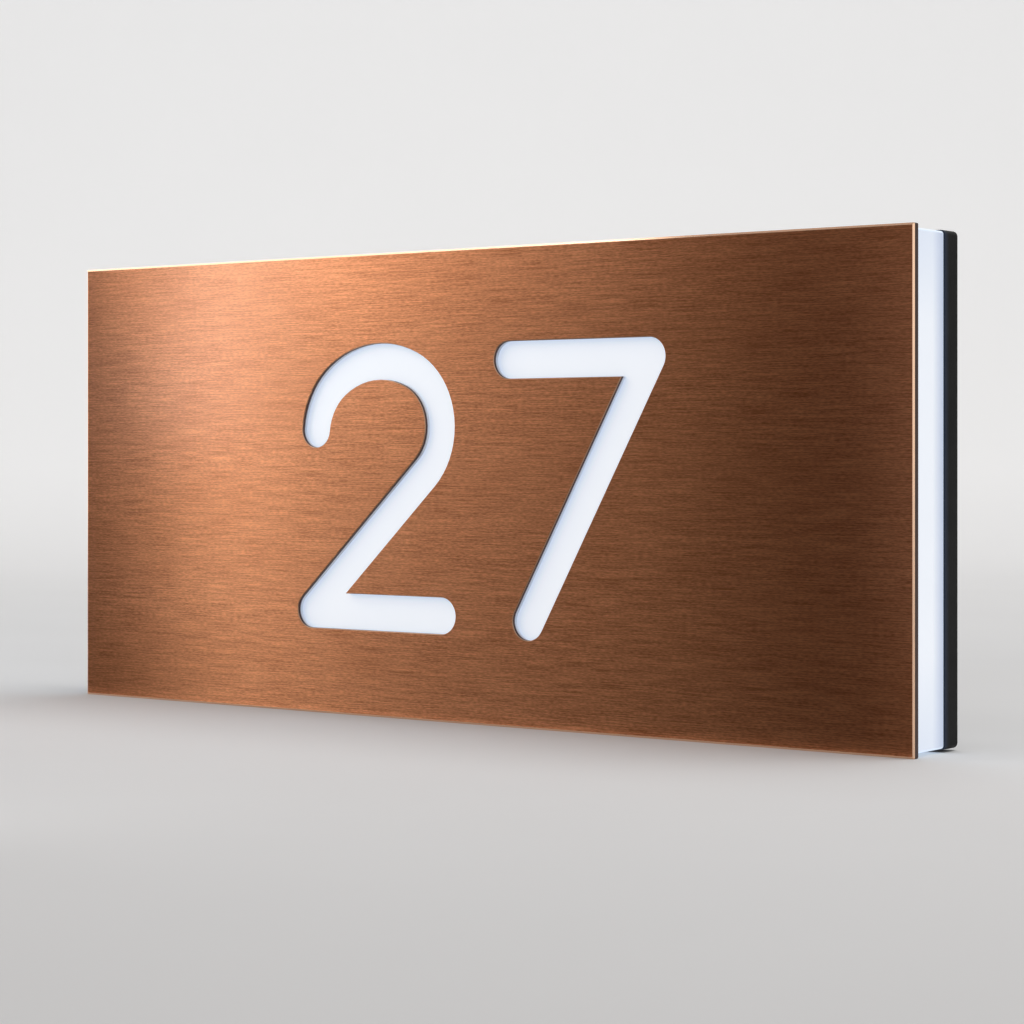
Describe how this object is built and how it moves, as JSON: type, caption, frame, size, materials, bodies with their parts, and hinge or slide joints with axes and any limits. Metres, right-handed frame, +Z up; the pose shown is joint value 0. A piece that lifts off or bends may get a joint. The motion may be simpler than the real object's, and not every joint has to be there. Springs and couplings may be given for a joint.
{
  "type": "house number plaque",
  "caption": "Illuminated house number plaque: brushed copper face with cut-out numerals on an opal diffuser hood, over a black wall tray with light boards inside.",
  "frame": {"origin": "centre of the tray's flat rear face, in the middle of the four wall fixing holes", "axes": "+X along the plate's length to the right as read, +Y out of the rear face into the wall, +Z up; the numerals face -Y"},
  "size_m": [0.44, 0.037, 0.2],
  "materials": {
    "brushed_copper": "copper sheet, fine horizontal brushing, polished bevelled edges",
    "copper_stud": "plain copper-plated weld stud",
    "opal_acrylic": "opal acrylic, satin, glowing cool white",
    "black_coat": "satin black powder coat on cast aluminium",
    "white_coat": "matt white coat on aluminium sheet",
    "board_white": "white solder mask on board",
    "light_package": "yellow phosphor in white package",
    "silicone": "grey foamed silicone",
    "black_rubber": "matt black rubber",
    "steel": "stainless, turned",
    "black_screw": "black oxide steel",
    "clamp_brass": "drawn brass",
    "tinned_copper": "tinned copper strip",
    "terminal_body": "pale polyamide",
    "wire_red": "red wire insulation",
    "wire_black": "black wire insulation"
  },
  "bodies": {
    "root": {"face_plate": "brushed_copper", "face_studs": "copper_stud", "stud_washers": "steel", "stud_nuts": "steel", "diffuser_cover": "opal_acrylic", "lock_screws": "black_screw", "rim_gasket": "silicone", "base_tray": "black_coat", "cable_grommet": "black_rubber", "led_carrier": "white_coat", "carrier_screws": "steel", "terminal_block": "terminal_body", "terminal_clamps": "clamp_brass", "terminal_screws": "steel", "feed_wire_red": "wire_red", "feed_wire_black": "wire_black", "link_strips": "tinned_copper", "led_bar_1": "board_white", "led_bar_2": "board_white", "led_bar_3": "board_white", "led_bar_4": "board_white", "led_bar_5": "board_white", "leds_1": "light_package", "leds_2": "light_package", "leds_3": "light_package", "leds_4": "light_package", "leds_5": "light_package"}
  },
  "joints": []
}
